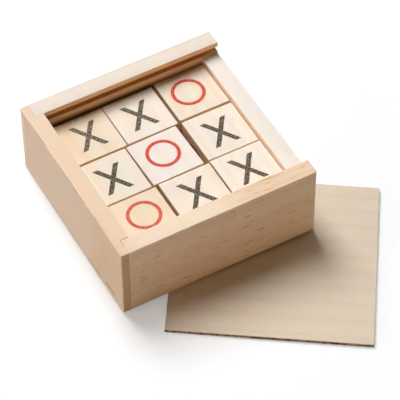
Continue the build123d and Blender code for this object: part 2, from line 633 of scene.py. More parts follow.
@dataclass
class GridSolid:
    """Blocks less cuts, skinned with small quads on one grid, so that its edges can be shaped."""

    blocks: list[Block]
    cuts: list[Block] = field(default_factory=list)
    arrises: list[Arris] = field(default_factory=list)
    extra_lines: Lines = field(default_factory=lambda: ([], [], []))
    step: float = 2.5

    def grid(self) -> list[np.ndarray]:
        """List the lines of the grid that the solid is cut on.

        Returns:
            The places along X, Y and Z.
        """
        lines = [list(extra) for extra in self.extra_lines]
        for axis in range(3):
            for block in self.blocks + self.cuts:
                lines[axis] += [block.low[axis], block.high[axis]]
        for arris in self.arrises:
            for side, axis in enumerate(other_axes(arris.axis)):
                lines[axis] += edge_lines(arris.corner[side], arris.outward[side], arris.radius)
        found = []
        for axis in range(3):
            low = min(block.low[axis] for block in self.blocks) - SAME
            high = max(block.high[axis] for block in self.blocks) + SAME
            found.append(fill_lines([place for place in lines[axis] if low <= place <= high], self.step))
        return found

    def skin(self) -> tuple[np.ndarray, np.ndarray]:
        """Wrap the solid cells in quads that face outwards, with the edges rounded.

        Returns:
            The points in millimetres and the four corners of each quad.
        """
        grid = self.grid()
        middles = [(lines[1:] + lines[:-1]) / 2 for lines in grid]
        cells = np.stack(np.meshgrid(*middles, indexing="ij"), axis=-1)
        solid = np.zeros(cells.shape[:3], bool)
        for blocks, filled in ((self.blocks, True), (self.cuts, False)):
            for block in blocks:
                solid[np.all((cells > block.low) & (cells < block.high), axis=-1)] = filled
        counts = [len(lines) for lines in grid]
        number = np.arange(np.prod(counts)).reshape(counts)
        padded = np.pad(solid, 1)
        quads = []
        for axis in range(3):
            first, second = other_axes(axis)
            for side in (0, 1):
                shift = np.roll(padded, 1 if side == 0 else -1, axis=axis)
                open_cells = np.argwhere(solid & ~shift[1:-1, 1:-1, 1:-1])
                corners = []
                for along_first, along_second in ((0, 0), (1, 0), (1, 1), (0, 1)):
                    corner = open_cells.copy()
                    corner[:, axis] += side
                    corner[:, first] += along_first
                    corner[:, second] += along_second
                    corners.append(number[tuple(corner.T)])
                turned = (side == 1) == (axis != 1)
                quads.append(np.stack(corners if turned else corners[::-1], axis=1))
        used, faces = np.unique(np.concatenate(quads), return_inverse=True)
        points = np.stack(np.meshgrid(*grid, indexing="ij"), axis=-1).reshape(-1, 3)[used]
        return self.ease(points), faces.reshape(-1, 4)

    def ease(self, points: np.ndarray) -> np.ndarray:
        """Round the straight edges.

        Args:
            points: The points of the sharp solid.

        Returns:
            The points with each edge rounded.
        """
        eased = points.copy()
        for arris in self.arrises:
            axes = other_axes(arris.axis)
            outward = np.array(arris.outward)
            # How far each point is past the start of the rounding, towards the air.
            past = outward * (eased[:, axes] - arris.corner) + arris.radius
            near = np.all((past > 0) & (past <= arris.radius + SAME), axis=1)
            length = np.maximum(np.hypot(past[:, 0], past[:, 1]), SAME)
            past *= np.where(near, past.max(axis=1) / length, 1.0)[:, None]
            moved = arris.corner + outward * (past - arris.radius)
            eased[np.ix_(near, axes)] = moved[near]
        return eased


@dataclass(frozen=True)
class Envelope:
    """The rounded outer shape that a glued up box, or a plate, is sanded to.

    The unevenness is the share by which the edge radius varies, over swells of the given width.
    """

    size: Point
    corner_radius: float
    edge_radius: float
    unevenness: float = 0.35
    swell: float = 9.0

    def lines(self) -> Lines:
        """List the grid lines that the roundings need.

        Returns:
            The places along X, Y and Z.
        """
        found = ([], [], [])
        for axis in range(3):
            for place, outward in ((0.0, -1), (self.size[axis], 1)):
                found[axis].extend(edge_lines(place, outward, self.edge_radius))
                if axis < 2:
                    found[axis].extend(edge_lines(place, outward, self.corner_radius))
        return found

    def shape(self, points: np.ndarray, seed: float) -> np.ndarray:
        """Round the upright corners, then the top and bottom edges, a little unevenly.

        Args:
            points: Points on the sharp box.
            seed: Gives the piece its own unevenness.

        Returns:
            The points on the rounded box.
        """
        shaped = points.copy()
        radius = self.corner_radius
        limit = np.array(self.size[:2])
        core = np.clip(shaped[:, :2], radius, limit - radius)
        offset = shaped[:, :2] - core
        at_corner = np.all(np.abs(offset) > SAME, axis=1)
        length = np.maximum(np.linalg.norm(offset, axis=1), SAME)
        scale = np.where(at_corner, np.abs(offset).max(axis=1) / length, 1.0)
        shaped[:, :2] = core + offset * scale[:, None]

        # How far each point is inside the upright outer face, and which way that face looks.
        core = np.clip(shaped[:, :2], radius, limit - radius)
        offset = shaped[:, :2] - core
        length = np.linalg.norm(offset, axis=1)
        inset = radius - length
        outward = offset / np.maximum(length, SAME)[:, None]
        edge = self.edge_radius * (1.0 + self.unevenness * sway(points, self.swell, seed))
        for level, up in ((0.0, -1), (self.size[2], 1)):
            across = edge - inset
            upward = up * (shaped[:, 2] - level) + edge
            near = (across > 0) & (upward > 0)
            length = np.maximum(np.hypot(across, upward), SAME)
            moved = np.where(near, 1 - np.minimum(np.maximum(across, upward), edge) / length, 0.0)
            shaped[:, :2] -= outward * (across * moved)[:, None]
            shaped[:, 2] -= up * upward * moved
        return shaped


def axes_at(corner: Vector, along: Vector, across: Vector, up: Vector) -> Matrix:
    """Return the axes that start at a corner and run in three directions."""
    return Matrix.Translation(corner) @ Matrix((along, across, up)).transposed().to_4x4()


def link(name: str, data: ID) -> Object:
    """Put a new object into the scene.

    Args:
        name: The object's name.
        data: Its mesh, lamp or camera.

    Returns:
        The new object.
    """
    made = bpy.data.objects.new(name, data)
    bpy.context.scene.collection.objects.link(made)
    return made


def make_object(
    name: str, points: np.ndarray, faces: list, place: Matrix, material: Material
) -> Object:
    """Make a mesh object from points in millimetres.

    Args:
        name: The piece's name.
        points: Its points in its own axes, in millimetres.
        faces: The corners of each face.
        place: Where its axes stand.
        material: Its finish.

    Returns:
        The new object.
    """
    mesh = bpy.data.meshes.new(name)
    mesh.from_pydata((points * MM).tolist(), [], [list(map(int, face)) for face in faces])
    mesh.polygons.foreach_set("use_smooth", [True] * len(mesh.polygons))
    mesh.set_sharp_from_angle(angle=math.radians(SHARP_TURN))
    mesh.materials.append(material)
    made = link(name, mesh)
    made.matrix_world = place
    made.modifiers.new("even_shading", "WEIGHTED_NORMAL").keep_sharp = True
    LOG.info("%s: %d points, %d faces", name, len(mesh.vertices), len(mesh.polygons))
    return made


def dress(made: Object, body: str, slot: str, *nodes: str) -> None:
    """Tie a piece to its body, and hide the frame's nodes that it stands for.

    Args:
        made: The piece.
        body: The body that it moves with.
        slot: The record's material slot; not used.
        *nodes: The nodes that it replaces.
    """
    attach(made, body)
    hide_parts(*nodes)


def node_points(node: Object, axes: Matrix) -> np.ndarray:
    """Return the points of a node of the frame in other axes, in millimetres."""
    turn = axes.inverted()
    return np.array([turn @ vertex.co for vertex in node.data.vertices]) / MM


@dataclass(frozen=True)
class Places:
    """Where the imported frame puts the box, the lid and each cube."""

    frame: dict

    def mount(self, name: str) -> tuple[Vector, Vector]:
        """Find one of the record's mounts.

        Args:
            name: The mount's name.

        Returns:
            Its place and its direction.
        """
        for mount in self.frame["record"]["mounts"]:
            if mount["name"] == name:
                return Vector(mount["pos_m"]), Vector(mount["axis"]).normalized()
        raise ValueError(f"the record has no mount named {name}")

    def box_axes(self, width: float) -> Matrix:
        """Find the box's front left bottom corner and its axes.

        Args:
            width: The box's outer width, in millimetres.

        Returns:
            Axes with X towards the open end, Y to the back wall and Z up through the cubes.
        """
        middle, down = self.mount("box_underside")
        up = -down
        across = up.cross(self.mount("lid_groove")[1]).normalized()
        along = across.cross(up)
        return axes_at(middle - (along + across) * (width / 2 * MM), along, across, up)

    def lid_axes(self, length: float, width: float) -> Matrix:
        """Find the lid's near left bottom corner and its axes.

        Args:
            length: The lid's length along its slide, in millimetres.
            width: The lid's width, in millimetres.

        Returns:
            Axes with X along the lid's slide and Z up.
        """
        middle = self.mount("lid_underside")[0]
        slides = {joint["name"]: joint["axis"] for joint in self.frame["joints"]}
        along = Vector(slides["lid_draw"])
        along.z = 0
        along.normalize()
        up = Vector((0, 0, 1))
        across = up.cross(along)
        corner = middle - along * (length / 2 * MM) - across * (width / 2 * MM)
        return axes_at(corner, along, across, up)

    def cube_axes(self, place: str, box_axes: Matrix) -> Matrix:
        """Find one cube's middle and its axes, which stand a little skew in the box.

        Args:
            place: The cube's cell.
            box_axes: The box's axes.

        Returns:
            Axes at the cube's middle.
        """
        node = self.frame["nodes"][f"cube_{place}"]
        along = box_axes.to_3x3().col[0]
        up = box_axes.to_3x3().col[2].normalized()
        facing = Vector((0, 0, 0))
        nearly_along = 0.99
        for polygon in node.data.polygons:
            if polygon.normal.dot(along) > nearly_along:
                facing += polygon.normal * polygon.area
        facing = (facing - up * facing.dot(up)).normalized()
        turn = axes_at(Vector((0, 0, 0)), facing, up.cross(facing), up)
        points = node_points(node, turn)
        middle = (points.min(axis=0) + points.max(axis=0)) / 2 * MM
        return turn @ Matrix.Translation(middle)

    def print_drift(self, place: str, cube_axes: Matrix, edge: float) -> tuple[float, float]:
        """Measure how far the print on a cube's top is off the middle.

        Args:
            place: The cube's cell.
            cube_axes: The cube's axes.
            edge: The cube's edge, in millimetres.

        Returns:
            The drift along the cube's X and Y, in millimetres.
        """
        # The print on top lies within 1 mm of the cube's top face.
        near_face = edge / 2 - 1
        for kind in ("crosses", "noughts"):
            points = node_points(self.frame["nodes"][f"{kind}_{place}"], cube_axes)
            top = points[points[:, 2] > near_face]
            if len(top) > 0 and np.all(np.abs(top[:, 0]) < near_face):
                middle = (top.min(axis=0) + top.max(axis=0)) / 2
                return float(middle[0]), float(middle[1])
        return 0.0, 0.0


@dataclass(frozen=True)
class Tray:
    """The box itself: three high walls with the lid's groove, a low wall and a plywood base."""

    axes: Matrix
    width: float = 100.6
    height: float = 41.05
    wall: float = 8.3
    lap: float = 4.0
    base: float = 4.0
    base_ply: float = 0.8
    base_step: float = 6.0
    rabbet: float = 4.0
    groove_floor: float = 35.05
    groove_roof: float = 38.05
    groove_depth: float = 4.3
    low_top: float = 34.05
    corner_radius: float = 0.8
    edge_radius: float = 0.35

    def envelope(self) -> Envelope:
        """Return the rounded outer shape of the box."""
        size = (self.width, self.width, self.height)
        return Envelope(size, self.corner_radius, self.edge_radius)

    def base_block(self) -> Block:
        """Find the space that the base panel takes.

        Returns:
            The panel's block, in the box's axes.
        """
        low = self.wall - self.rabbet
        high = self.width - low
        return Block((low, low, 0.0), (high, high, self.base))

    def inner_arrises(self, side: float, outward: int, axis: int) -> list[Arris]:
        """Return the eased top edge and groove edges of the inner face that stands at side."""
        levels = ((self.height, 1), (self.groove_roof, -1), (self.groove_floor, 1))
        return [Arris(axis, (side, level), (outward, up)) for level, up in levels]

    def slit(self) -> list[Block]:
        """Place the short splintered slit near the bottom of the left wall's outer face.

        Returns:
            The two blocks that it takes out of the wall.
        """
        return [
            Block((-1.0, 12.4, 4.1), (0.45, 16.8, 4.5)),
            Block((-1.0, self.wall, 3.75), (0.45, 12.6, 4.15)),
        ]

    def left_wall(self) -> GridSolid:
        """Shape the end wall, with a tongue at each end over the long walls.

        Returns:
            The wall, before the box's outer edges are rounded.
        """
        far = self.width - self.wall
        start = self.wall - self.groove_depth
        groove = Block((start, 0.0, self.groove_floor), (self.wall, self.width, self.groove_roof))
        tongue = Block((0.0, 0.0, 0.0), (self.lap, self.width, self.height))
        body = Block((0.0, self.wall, 0.0), (self.wall, far, self.height))
        joints = [
            Arris(0, (self.wall, self.height), (-1, 1)),
            Arris(0, (far, self.height), (1, 1)),
            Arris(1, (self.lap, self.height), (1, 1)),
            Arris(2, (self.lap, 0.0), (1, -1)),
            Arris(2, (self.lap, self.width), (1, 1)),
        ]
        cuts = [groove, self.base_block(), *self.slit()]
        arrises = self.inner_arrises(self.wall, 1, 1) + joints
        return GridSolid([tongue, body], cuts, arrises, self.envelope().lines())

    def long_wall(self, back: bool) -> GridSolid:
        """Return the front wall, or the back wall as its mirror image.

        Args:
            back: Whether it is the back wall.

        Returns:
            The wall, its groove open at the low end.
        """
        near = self.width - self.wall if back else 0.0
        inner = self.width - self.wall if back else self.wall
        outer = self.width if back else 0.0
        towards = -1 if back else 1
        depth = inner - towards * self.groove_depth
        body = Block((self.lap, near, 0.0), (self.width, near + self.wall, self.height))
        groove = Block(
            (self.lap, min(inner, depth), self.groove_floor),
            (self.width, max(inner, depth), self.groove_roof),
        )
        joints = [
            Arris(1, (self.lap, self.height), (-1, 1)),
            Arris(2, (self.lap, outer), (-1, -towards)),
        ]
        arrises = self.inner_arrises(inner, towards, 0) + joints
        return GridSolid([body], [groove, self.base_block()], arrises, self.envelope().lines())

    def low_wall(self) -> GridSolid:
        """Shape the low end wall that the lid passes over.

        Returns:
            The wall, before the box's outer edges are rounded.
        """
        near = self.width - self.wall
        body = Block((near, self.wall, 0.0), (self.width, near, self.low_top))
        arrises = [
            Arris(1, (near, self.low_top), (-1, 1), self.edge_radius),
            Arris(1, (self.width, self.low_top), (1, 1), self.edge_radius),
        ]
        return GridSolid([body], [self.base_block()], arrises, self.envelope().lines())

    def base_panel(self) -> GridSolid:
        """Shape the plywood base, with its lower edges rounded.

        Returns:
            The panel.
        """
        panel = self.base_block()
        arrises = [
            Arris(1 - side, (end[side], 0.0), (outward, -1))
            for side in (0, 1)
            for end, outward in ((panel.low, -1), (panel.high, 1))
        ]
        return GridSolid([panel], arrises=arrises, step=self.base_step)

    def inner_shade_and_burnish(self, side: float, outward: int, axis: int, strength: float) -> tuple[ColourPatch, ...]:
        """Return the painted shade inside a high wall and its groove, with some saw burnish.

        Args:
            side: Where the inner face stands.
            outward: The side of the cubes, 1 or -1.
            axis: The axis that the wall runs along, 0 or 1.
            strength: How strongly the painted shade shows on this wall, up to 1.

        Returns:
            The painted shade of the inner face, the lip and the groove.
        """
        half = self.width / 2
        past_end = 9.0
        floor, roof = self.groove_floor, self.groove_roof
        found = []
        # For each patch: its levels, its start and end across the wall, its colour, share and edge.
        # The rows are all painted shade: warm on the inner face, dark brown on it below the cubes' tops,
        # warm on the lip's inner face, and orange in the groove, which stands for a little saw burnish
        # too.
        for low, high, start, end, colour, share, edge in (
            (-past_end, floor, -0.7, 1.0, "#F0C08A", 0.9, 0.03),
            (-past_end, floor - 1.5, -0.7, 1.0, "#6E4420", 0.85, 0.18),
            (roof, self.height - 0.2, -0.7, 1.0, "#FDD5A6", 0.9, 0.05),
            (floor - 0.2, roof, -self.groove_depth - 0.3, -0.1, "#E9AA63", 1.0, 0.05),
        ):
            middle = [half, half, (low + high) / 2]
            reach = [half + past_end, half + past_end, (high - low) / 2]
            middle[1 - axis] = side + outward * (start + end) / 2
            reach[1 - axis] = (end - start) / 2
            found.append(ColourPatch(tuple(middle), tuple(reach), colour, share * strength, edge))
        return tuple(found)

    def cuts(self) -> dict[str, Cut]:
        """List how each wall was cut, with its stains, painted shade and painted highlight.

        Returns:
            The cut of each wall, by the name of its node.
        """
        far = self.width - self.wall
        half = self.width / 2
        # On the outer face: a painted highlight at the back end, the line beside it, patches, the slit
        # with painted shade in it, and the top edge.
        left = (
            # A painted highlight along the back end.
            ColourPatch((0.0, 98.6, 17.0), (1.0, 2.2, 22.0), "#F6E4CA", 0.5, 0.15, 0.05),
            ColourPatch((0.0, 96.3, 20.0), (1.0, 0.3, 30.0), "#C99A68", 0.5, 0.8, 0.1),
            ColourPatch((0.0, 25.0, 11.0), (3.0, 6.5, 8.5), "#E3B98C", 0.3, 0.9, 1.0),
            ColourPatch((0.0, 16.0, 18.0), (3.0, 5.5, 12.0), "#E9C98A", 0.4, 0.9, 1.0),
            ColourPatch((0.0, 28.0, 2.0), (3.0, 9.0, 2.4), "#D89A55", 0.4, 0.8, 0.4),
            ColourPatch((0.0, 14.6, 3.6), (1.0, 2.6, 0.5), "#E7B77F", 0.6, 0.5, 0.1),
            # Painted shade in the slit.
            ColourPatch((0.3, 14.6, 4.3), (1.0, 2.5, 0.5), "#5C3A1E", 0.95, 0.4),
            ColourPatch((0.3, 10.4, 3.95), (1.0, 2.4, 0.5), "#5C3A1E", 0.95, 0.4),
            ColourPatch((0.0, 10.0, 20.0), (3.0, 34.0, 40.0), "#DDB27C", 0.3, 0.95, 1.0),
            ColourPatch((0.0, 52.0, 40.9), (0.5, 50.0, 0.4), "#8F6238", 0.6, 0.6, 0.08, True),
        )
        # The joint lines on top at the front left corner.
        joint = (
            ColourPatch((6.0, self.wall, self.height), (2.4, 0.22, 0.6), "#8A6238", 0.8, 0.4),
            ColourPatch((self.lap, 6.2, self.height), (0.2, 2.2, 0.6), "#B08A5E", 0.6, 0.4),
        )
        front = (
            ColourPatch((32.0, 4.0, self.height), (38.0, 9.0, 0.7), "#FBEEDE", 0.6, 0.6, 0.1),
            ColourPatch((77.5, 7.9, self.height), (6.0, 0.6, 0.5), "#E0A05C", 0.6, 0.7, 0.1),
        )
        # Both outer faces have yellowed, and the low wall's inner face gets painted warm shade.
        back = (ColourPatch((half, self.width + 1.0, 20.0), (60.0, 1.25, 20.8), "#F3DFC4", 0.7, 0.05),)
        low = (
            ColourPatch((self.width + 1.0, half, 20.0), (1.25, 60.0, 30.0), "#F3DFC4", 0.7, 0.05),
            # Painted warm shade on the low wall's inner face.
            ColourPatch((far, half, 16.0), (0.3, 60.0, 17.95), "#F2B26C", 0.55, 0.1),
        )
        # The high walls' inner faces, lips and grooves get painted shade, strongest on the back wall.
        left = self.inner_shade_and_burnish(self.wall, 1, 1, 0.4) + left + joint
        front = self.inner_shade_and_burnish(self.wall, 1, 0, 0.4) + front + joint
        back = self.inner_shade_and_burnish(far, -1, 0, 1.0) + back
        return {
            "left_wall": Cut(Grain.ALONG_Y, (31.0, 22.0), 12.0, "#EFD9C2", 0.22, 0.0, left),
            "front_wall": Cut(Grain.ALONG_X, (46.0, -19.0), 140.0, "#F3DEC8", 1.0, 1.0, front),
            "back_wall": Cut(Grain.ALONG_X, (-140.0, 31.0), 60.0, "#F0E9E4", 0.7, 0.1, back),
            "low_wall": Cut(Grain.ALONG_Y, (60.0, 47.0), 230.0, "#F9F3EF", 0.5, 0.1, low),
        }

    def build(self) -> None:
        """Build the walls and the base and tie them to the box."""
        cuts = self.cuts()
        solids = {
            "left_wall": self.left_wall(),
            "front_wall": self.long_wall(back=False),
            "back_wall": self.long_wall(back=True),
            "low_wall": self.low_wall(),
        }
        for seed, (node, solid) in enumerate(solids.items(), start=1):
            points, faces = solid.skin()
            points = self.envelope().shape(points, float(seed))
            material = SANDED_PINE.material(f"sanded_pine_{node}", cuts[node])
            made = make_object(f"{node}_board", points, faces, self.axes, material)
            dress(made, "box", "pine", node)
        points, faces = self.base_panel().skin()
        plywood = SawnPlywood(FACE_VENEER, self.base, self.base_ply)
        cut = Cut(Grain.ALONG_Y, (300.0, 70.0), 0.0, "#EBDCC8")
        material = plywood.material("sawn_plywood_base", cut)
        made = make_object("base_plywood", points, faces, self.axes, material)
        dress(made, "box", "plywood", "base_panel")


@dataclass(frozen=True)
class Lid:
    """The thin plywood lid with its ragged sawn edge.

    The saw bites into the rim in short teeth and in long waves. Each of the two has its width, how
    many times as fast it changes through the thickness, its share of the saw's depth and its seed.
    """

    axes: Matrix
    length: float = 94.85
    width: float = 92.1
    thickness: float = 2.0
    ply: float = 0.5
    corner_radius: float = 0.7
    edge_radius: float = 0.12
    near_face: float = 0.1
    rim: tuple[float, ...] = (0.0, 0.12, 0.3, 0.6)
    teeth: tuple[float, ...] = (1.4, 2.5, 0.8, 3.0)
    waves: tuple[float, ...] = (9.0, 0.2, 0.4, 5.0)
    saw_depth: float = 0.2
    seed: float = 7.0
    step: float = 1.0

    def skin(self) -> tuple[np.ndarray, np.ndarray]:
        """Build the plate and chew its rim a little.

        Returns:
            The points in millimetres and the faces.
        """
        size = (self.length, self.width, self.thickness)
        long_lines, wide_lines = ([*self.rim, *(end - inset for inset in self.rim)] for end in size[:2])
        low_levels = [self.near_face, self.ply]
        levels = low_levels + [self.thickness - level for level in low_levels]
        plate = Block((0.0, 0.0, 0.0), size)
        lines = (long_lines, wide_lines, levels)
        points, faces = GridSolid([plate], extra_lines=lines, step=self.step).skin()
        points = Envelope(size, self.corner_radius, self.edge_radius).shape(points, self.seed)
        flat = points[:, :2]
        high = np.array(size[:2])
        to_side = np.minimum(flat, high - flat)
        rows = np.arange(len(flat))
        side = to_side.argmin(axis=1)
        inward = np.zeros_like(flat)
        inward[rows, side] = np.sign(high / 2 - flat)[rows, side]
        bite = np.zeros(len(points))
        for width, rise, share, seed in (self.teeth, self.waves):
            bite += np.abs(sway(points * (1.0, 1.0, rise), width, seed)) * share
        fade = np.clip(1 - to_side.min(axis=1) / self.rim[-1], 0, 1)
        points[:, :2] += inward * (bite * self.saw_depth * fade)[:, None]
        return points, faces

    def build(self) -> None:
        """Build the lid and tie it to its body."""
        points, faces = self.skin()
        cut = Cut(Grain.ALONG_X, (400.0, 90.0), 30.0, "#E9DFD1", 1.0, 0.6)
        plywood = SawnPlywood(FACE_VENEER, self.thickness, self.ply)
        material = plywood.material("sawn_plywood_lid", cut)
        made = make_object("lid_plywood", points, faces, self.axes, material)
        dress(made, "lid", "plywood", "lid")


class Mark(Enum):
    """The two marks of the game."""

    CROSS = "cross"
    NOUGHT = "nought"


@dataclass(frozen=True)
class PrintShapes:
    """The outlines of the printed marks and the thickness of the ink.

    The ragged value is how far an outline wanders, over swells of the given width.
    """

    cross_width: float = 13.6
    cross_height: float = 16.0
    cross_bar: float = 2.3
    cross_softening: float = 0.35
    corner_parts: int = 4
    nought_diameter: float = 16.6
    nought_ring: float = 1.7
    ink_top: float = 0.02
    ink_root: float = 0.06
    ragged: float = 0.07
    swell: float = 0.8
    pitch: float = 0.4

    def cross_corners(self) -> list[Vector]:
        """Work out the sharp corners of the cross.

        Returns:
            The twelve corners, anticlockwise.
        """
        half = self.cross_height / 2
        diagonal = math.sqrt(self.cross_height**2 + self.cross_width**2 - self.cross_bar**2)
        cut = self.cross_bar * (self.cross_height * diagonal - self.cross_bar * self.cross_width)
        cut /= self.cross_height**2 - self.cross_bar**2
        reach = (self.cross_width - cut) / 2
        notch_up = self.cross_height / (2 * reach) * cut / 2
        side = cut / 2
        upper = [
            Vector((side, 0.0)),
            Vector((reach + side, half)),
            Vector((reach - side, half)),
            Vector((0.0, notch_up)),
            Vector((side - reach, half)),
            Vector((-side - reach, half)),
        ]
        return upper + [-corner for corner in upper]

    def soften(self, corners: list[Vector]) -> list[Vector]:
        """Round the outer corners of an outline and divide its sides into short steps.

        Args:
            corners: The sharp corners, anticlockwise.

        Returns:
            The points of the softened outline.
        """
        outline = []
        for index, corner in enumerate(corners):
            before = (corners[index - 1] - corner).normalized()
            after = (corners[(index + 1) % len(corners)] - corner).normalized()
            if before.x * after.y - before.y * after.x >= 0:
                outline.append(corner)
                continue
            start = corner + before * self.cross_softening
            end = corner + after * self.cross_softening
            for part in range(self.corner_parts + 1):
                share = part / self.corner_parts
                outline.append(start.lerp(corner, share).lerp(corner.lerp(end, share), share))
        stepped = []
        for index, point in enumerate(outline):
            following = outline[(index + 1) % len(outline)]
            parts = max(1, round((following - point).length / self.pitch))
            stepped += [point.lerp(following, part / parts) for part in range(parts)]
        return stepped

    def loops(self, mark: Mark) -> list[np.ndarray]:
        """Draw a mark's outline, and its inner edge where it has one.

        Args:
            mark: The mark.

        Returns:
            One or two rings of points, in millimetres.
        """
        if mark is Mark.CROSS:
            return [np.array(self.soften(self.cross_corners()))]
        radius = self.nought_diameter / 2
        count = round(math.tau * radius / self.pitch)
        turns = np.arange(count) / count * math.tau
        ring = np.stack([np.cos(turns), np.sin(turns)], axis=1)
        return [ring * radius, ring * (radius - self.nought_ring)]

    def film(self, mark: Mark, seed: float) -> tuple[np.ndarray, list]:
        """Build a mark's ink as a thin plate with a slightly ragged outline.

        Args:
            mark: The mark.
            seed: Gives each print its own edge.

        Returns:
            The points, with Z up out of the face, and the faces.
        """
        points = []
        loops = self.loops(mark)
        for loop in loops:
            away = loop - loop.mean(axis=0)
            away /= np.maximum(np.linalg.norm(away, axis=1), SAME)[:, None]
            lifted = np.column_stack([loop, np.full(len(loop), seed)])
            ragged = loop + away * (sway(lifted, self.swell, seed) * self.ragged)[:, None]
            for level in (self.ink_top, -self.ink_root):
                points += [(x, y, level) for x, y in ragged]

        # The points stand in rings of one length: the outline's top and bottom, then the inner edge's.
        count = len(loops[0])
        rings = [range(start * count, (start + 1) * count) for start in range(4)]
        top, bottom, inner_top, inner_bottom = rings
        faces = []
        for index in range(count):
            after = (index + 1) % count
            faces.append((top[index], bottom[index], bottom[after], top[after]))
        if len(loops) == 1:
            return np.array(points), [*faces, tuple(top), tuple(reversed(bottom))]
        for index in range(count):
            after = (index + 1) % count
            faces.append((inner_top[after], inner_bottom[after], inner_bottom[index], inner_top[index]))
            faces.append((top[index], top[after], inner_top[after], inner_top[index]))
            faces.append((bottom[after], bottom[index], inner_bottom[index], inner_bottom[after]))
        return np.array(points), faces


@dataclass(frozen=True)
class Seat:
    """One cube: its cell, the mark on its top, and how its wood was cut."""

    place: str
    top: Mark
    heart: tuple[float, float]
    colour: str
    figure: float = 0.8
    wear: float = 0.4
    patches: tuple[ColourPatch, ...] = ()


# Dark brown streaks on some fibres along the top edges next to the back wall, and painted warm
# shade along one cube's left edge, next to the left wall.
BACK_LEFT_STREAKS_AND_SHADE = (
    ColourPatch((0.0, 12.4, 13.3), (11.0, 0.9, 1.0), "#8F6038", 0.7, 0.6, 0.3, True),
    # Painted warm shade along the left top edge and over the left part of the top.
    ColourPatch((-13.0, 0.0, 13.0), (0.6, 12.0, 0.8), "#DFA05A", 0.6, 0.7, 0.2),
    ColourPatch((-12.0, 0.0, 13.3), (11.0, 18.0, 2.0), "#F2CC9C", 0.35, 0.9, 0.2),
)
BACK_MIDDLE_STAINS = (
    ColourPatch((0.0, 12.4, 13.3), (11.0, 0.8, 1.0), "#8F6038", 0.6, 0.6, 0.3, True),
)
BACK_RIGHT_STAINS = (ColourPatch((0.0, 13.0, 13.3), (14.0, 4.0, 1.0), "#D9AC78", 0.6, 0.8, 0.6),)

SEATS = (
    Seat("front_left", Mark.NOUGHT, (30.0, 52.0), "#FCEBD6", 0.8, 0.6),
    Seat("front_middle", Mark.CROSS, (-44.0, 61.0), "#FCF2EA", 0.8),
    Seat("front_right", Mark.CROSS, (85.0, 40.0), "#FBF3EC", 0.7),
    Seat("middle_left", Mark.CROSS, (12.0, -77.0), "#FBF2E7", 0.8),
    Seat("centre", Mark.NOUGHT, (66.0, 90.0), "#FBF2EF", 0.6, 0.3),
    Seat("middle_right", Mark.CROSS, (-90.0, 35.0), "#FAF2EA", 0.8),
    Seat("back_left", Mark.CROSS, (25.0, 34.0), "#FBECDB", 0.9, 0.65, BACK_LEFT_STREAKS_AND_SHADE),
    Seat("back_middle", Mark.CROSS, (-33.0, 48.0), "#FAF2EA", 0.9, 0.5, BACK_MIDDLE_STAINS),
    Seat("back_right", Mark.NOUGHT, (58.0, -60.0), "#F6ECE0", 0.8, 0.3, BACK_RIGHT_STAINS),
)

# The sides of the cubes, painted warm orange as the shade and bounced light in the gaps between them.
CUBE_SIDES_PAINTED_SHADE = ColourPatch((0.0, 0.0, -1.0), (15.0, 15.0, 13.7), "#FCBE6C", 0.4, 0.02)


